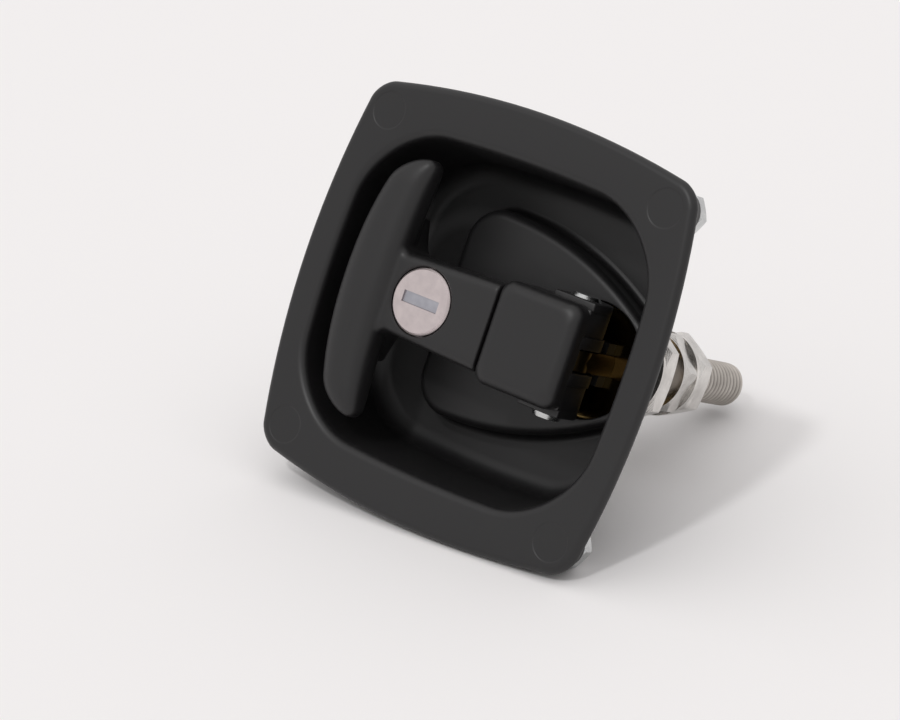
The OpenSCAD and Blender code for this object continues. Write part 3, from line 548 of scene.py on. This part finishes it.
def stemRing(x):
    start = grip["inner"] - stem["sink"]
    flareEnd = grip["inner"] + stem["flareL"]
    h = stem["halfHGrip"] + (stem["halfH"] - stem["halfHGrip"]) * (x - start) / (stem["end"] - start)
    h += stem["flare"] * (max(0, flareEnd - x) / stem["flareL"]) ** 2.2
    half, mid = (stem["front"] + stem["back"]) / 2, (stem["back"] - stem["front"]) / 2
    outline = bowedRect(half, h, stem["edgeR"], 0, 8, 4)
    return np.c_[np.full(len(outline), x), mid + outline[:, 0], outline[:, 1]]


def gripSkin():
    ends = grip["halfL"] - grip["endL"] * (1 - np.cos(np.linspace(0, math.pi / 2, 16)))
    levels = np.concatenate([-ends[:-1], np.linspace(-ends[-1], ends[-1], 50), ends[:-1][::-1]])
    handle = loft("gripSkin", [gripRing(z) for z in levels])
    reach = np.concatenate([np.linspace(grip["inner"] - stem["sink"], grip["inner"] + stem["flareL"], 24),
        [-6, stem["end"]]])
    carve(handle, loft("stem", [stemRing(x) for x in reach]), "UNION")
    step = handle.modifiers.new("even", "REMESH")
    step.mode, step.voxel_size = "VOXEL", 0.42 * mm
    step = handle.modifiers.new("ease", "SMOOTH")
    step.factor, step.iterations = 0.5, 9
    settle(handle)
    carve(handle,
        turned("lockCut", lock["x"], 0,
            [(lock["bore"] + 0.5, -12), (lock["bore"] + 0.5, -stem["front"] - 0.1),
        (lock["bore"], -stem["front"] + 0.4), (lock["bore"], 20)], 128))
    half, mid = (tenon["back"] - tenon["front"]) / 2, (tenon["back"] + tenon["front"]) / 2
    outline = bowedRect(half, tenon["halfH"], 0.4, 0, 3, 1)
    tongue = loft("tongue",
        [np.c_[np.full(len(outline), x), mid + outline[:, 0], outline[:, 1]] for x in (stem["end"] - 1,
            tenon["x1"])])
    return shade(gather("gripSkin", handle, tongue))


fit(gripSkin(), "handle", "black_coat", gripCoat, "t_handle")
print("handle built")

# Pivot block: rounded cap over two cam cheeks with ears
block = dict(x0=5.55, x1=28.3, halfH=12.6, front=3.6, edgeR=3.0, cornerR=3.2, under=1.95, back=12.2,
    slotHalf=2.9, camHalf=5.6,
    earOut=13.9, earFront=2.6, earLeft=5.7, cheekFront=1.8, bevel=0.45,
    lobeBevel=0.25, lobeFront=1.2, lap=0.4, lobeLap=0.3, swingR=5.85)
cam = dict(x=22.2, y=7.6, heel=9.35, rise=3.2, flat=8.7, earRelief=0.45)


def camSide(relief, left, frontY):
    slope = cam["rise"] * 2 / math.pi
    a = np.linspace(0, math.pi / 2, 24)
    p = cam["heel"] - relief - cam["rise"] * a / (math.pi / 2)
    curve = np.c_[p * np.sin(a) - slope * np.cos(a), p * np.cos(a) + slope * np.sin(a)]
    toe = cam["heel"] - cam["rise"] - relief
    outline = np.concatenate([[[-left, cam["heel"] - relief]], curve,
        [[toe, frontY - cam["y"]], [-left, frontY - cam["y"]]]])
    return outline + (cam["x"], cam["y"])


def blockSkin():
    hw, midX = (block["x1"] - block["x0"]) / 2, (block["x1"] + block["x0"]) / 2
    rings = [atDepth(bowedRect(hw, block["halfH"], block["cornerR"], 0, 12, 1) + (midX, 0), block["under"])]
    rings += [atDepth(bowedRect(hw + g, block["halfH"] + g, block["cornerR"], 0, 12, 1) + (midX, 0), y)
        for g, y in arc(-block["edgeR"], block["edgeR"] - block["front"], block["edgeR"], 0, -90, 12)]
    parts = [loft("cap", rings)]
    inner, outer, camHalf = block["slotHalf"], block["halfH"] - block["lap"], block["camHalf"]
    relief = cam["earRelief"]
    for side in (-1, 1):
        lobeLine = camSide(0, cam["flat"], block["lobeFront"])
        cheekLine = camSide(relief, cam["flat"], block["cheekFront"])
        earLine = camSide(relief, block["earLeft"], block["earFront"])
        lobe = prismZ("lobe", lobeLine, *sorted((side * inner, side * (camHalf + block["lobeLap"]))))
        cheek = prismZ("cheek", cheekLine, *sorted((side * camHalf, side * outer)))
        ear = prismZ("ear", earLine, *sorted((side * (outer - 1), side * block["earOut"])))
        parts += [soften(lobe, block["lobeBevel"]), soften(cheek, block["bevel"]),
            soften(ear, block["bevel"])]
    leftX, edgeX, front = block["x0"] + block["lap"], cam["x"] - block["swingR"], block["lobeFront"]
    body = np.array([(leftX, front), (edgeX, front), (edgeX, block["back"]), (leftX, block["back"])])
    parts.append(soften(prismZ("body", body, -outer, outer), block["bevel"]))
    return shade(gather("blockSkin", *parts))


fit(blockSkin(), "handle", "black_coat", gripCoat, "pivot_block")
print("block built")

# Shaft: flatted rod with an eye, and a cut thread on its free end
rod = dict(x=22.2, r=5.55, flat=2.6, eyeY=7.6, threadY=41.6, tip=89.1, chamfer=0.9, pitch=1.814,
    depth=1.0, around=72, perTurn=12)


def threadSkin():
    around, perTurn = rod["around"], rod["perTurn"]
    turns = int((rod["tip"] - rod["threadY"]) / rod["pitch"]) + 3
    u = np.arange(perTurn) / perTurn
    ridge = np.clip((np.abs(u - 0.5) * 2 - 0.12) / 0.72, 0, 1)  # crest at 0, root at 1
    verts = []
    for i in range(turns * perTurn):
        a = np.arange(around) * 2 * math.pi / around
        y = rod["threadY"] + (i / perTurn - 1) * rod["pitch"] + rod["pitch"] * np.arange(around) / around
        y = np.clip(y, rod["threadY"], rod["tip"])
        r = rod["r"] - rod["depth"] * ridge[i % perTurn]
        r = np.minimum(r, rod["r"] - np.clip(y - rod["tip"] + rod["chamfer"], 0, None))
        verts.append(np.c_[rod["x"] + r * np.cos(a), y, r * np.sin(a)])
    faces = []
    total = turns * perTurn
    for i in range(total - 1):
        for j in range(around - 1):
            faces.append((i * around + j, i * around + j + 1, (i + 1) * around + j + 1,
                (i + 1) * around + j))
        if i + 1 + perTurn < total:
            faces.append((i * around + around - 1, (i + perTurn) * around, (i + 1 + perTurn) * around,
                (i + 1) * around + around - 1))
    thread = meshPiece("thread", np.concatenate(verts), faces)
    core = rod["r"] - rod["depth"]
    stub = turned("stub", rod["x"], 0,
        [(core, rod["threadY"] - 0.5), (core, rod["tip"] - 0.06), (core - 0.2, rod["tip"])], 72)
    a = np.arange(72) * 2 * math.pi / 72
    flats = np.c_[rod["x"] + rod["r"] * np.cos(a), np.clip(rod["r"] * np.sin(a), -rod["flat"], rod["flat"])]
    bar = soften(prism("bar", flats, rod["eyeY"], rod["threadY"] + 0.2), 0.3)
    ring = np.c_[rod["x"] + rod["r"] * np.cos(a), rod["eyeY"] + rod["r"] * np.sin(a)]
    eye = soften(prismZ("eye", ring, -rod["flat"], rod["flat"]), 0.3)
    return shade(gather("threadedShaft", thread, stub, bar, eye), 50)


fit(threadSkin(), "spindle", "shaft_steel", shaftSteelAndShade, "shaft")
print("shaft built")

# Stage: the latch leans on its lower edge and shaft, so the floor is tilted in the latch's own frame
stageSet = dict(up=(-0.073, -0.432, 0.899), drop=-46.4, half=1600.0, tone=(0.90, 0.885, 0.885, 1))
up = Vector(stageSet["up"]).normalized()


def makeFloor():
    sideways = Vector((0.7842, 0.5319, 0.3194)).normalized()
    away = up.cross(sideways).normalized()
    centre = up * stageSet["drop"]
    across, along = sideways * stageSet["half"], away * stageSet["half"]
    corners = [centre + across * i + along * j for i, j in ((-1, -1), (1, -1), (1, 1), (-1, 1))]
    floor = meshPiece("floor", [tuple(c) for c in corners], [(0, 1, 2, 3)])
    if floor.data.polygons[0].normal.dot(up) < 0:
        floor.data.flip_normals()
    material, tree, surface = newMaterial("floorPaper")
    surface.inputs["Roughness"].default_value = 0.9
    surface.inputs["Specular IOR Level"].default_value = 0.15
    mottled = mixColour(tree, maths(tree, "MULTIPLY", noise(tree, 30.0, 3.0), 0.04), stageSet["tone"],
        (0.8, 0.79, 0.79, 1))
    tree.links.new(mottled, surface.inputs["Base Color"])
    clear = addNode(tree, "BsdfTransparent")
    behind = addNode(tree, "NewGeometry").outputs["Backfacing"]
    seen = addNode(tree, "MixShader", [(0, behind), (1, surface.outputs[0]), (2, clear.outputs[0])])
    tree.links.new(seen.outputs[0], tree.nodes["Material Output"].inputs["Surface"])
    floor.data.materials.append(material)


makeFloor()

# Light: a bright tent with one softer key from the front left
lightSet = dict(towards=(-0.03, -0.89, 0.45), key=0.62, spread=5.0, tentTone=(1.0, 0.985, 0.98, 1),
    shown=(0.87, 0.855, 0.855, 1),
    overhead=(-0.25, -0.45, 0.86), dim=0.38, bright=0.72, mirrored=0.7)


def makeLights():
    data = bpy.data.lights.new("key", "SUN")
    data.energy, data.angle = lightSet["key"], math.radians(lightSet["spread"])
    key = bpy.data.objects.new("key", data)
    key.rotation_mode = "QUATERNION"
    key.rotation_quaternion = Vector(lightSet["towards"]).to_track_quat("Z", "Y")
    bpy.context.collection.objects.link(key)
    world = bpy.data.worlds.new("tent")
    world.use_nodes = True
    tree = world.node_tree
    around = tree.nodes["Background"]
    around.inputs["Color"].default_value = lightSet["tentTone"]
    facing = addNode(tree, "TexCoord").outputs["Generated"]
    overhead = Vector(lightSet["overhead"]).normalized()
    height = addNode(tree, "VectorMath", [(0, facing), (1, overhead)],
        operation="DOT_PRODUCT").outputs["Value"]
    roof = addNode(tree, "MapRange",
        [("Value", height), ("From Min", 0.2), ("From Max", 0.95), ("To Min", lightSet["dim"]),
        ("To Max", lightSet["dim"] + lightSet["bright"])], interpolation_type="SMOOTHSTEP")
    tree.links.new(roof.outputs["Result"], around.inputs["Strength"])
    shown = addNode(tree, "Background", [("Color", lightSet["shown"]), ("Strength", 1.0)])
    path = addNode(tree, "LightPath").outputs
    mirrored = maths(tree, "MULTIPLY", path["Is Glossy Ray"], lightSet["mirrored"])
    direct = maths(tree, "MAXIMUM", maths(tree, "MAXIMUM", path["Is Camera Ray"], mirrored),
        path["Is Transmission Ray"])
    mixed = addNode(tree, "MixShader", [(0, direct), (1, around.outputs[0]), (2, shown.outputs[0])])
    tree.links.new(mixed.outputs[0], tree.nodes["World Output"].inputs["Surface"])
    bpy.context.scene.world = world


makeLights()

# Camera at the photograph's place
cameraSet = dict(eye=(333.79, -534.80, 54.23), right=(0.7842, 0.5319, 0.3194),
    forward=(-0.5298, 0.8420, -0.1017), lens=108.98)


def makeCamera():
    data = bpy.data.cameras.new("camera")
    data.lens, data.sensor_width, data.sensor_fit = cameraSet["lens"], 36, "HORIZONTAL"
    camera = bpy.data.objects.new("camera", data)
    back = -Vector(cameraSet["forward"]).normalized()
    right = Vector(cameraSet["right"]).normalized()
    turn = Matrix((right, back.cross(right), back)).transposed()
    camera.matrix_world = Matrix.Translation(Vector(cameraSet["eye"]) * mm) @ turn.to_4x4()
    bpy.context.collection.objects.link(camera)
    bpy.context.scene.camera = camera
    bpy.context.scene.view_settings.view_transform = "Standard"


makeCamera()
print("stage, lights and camera set")
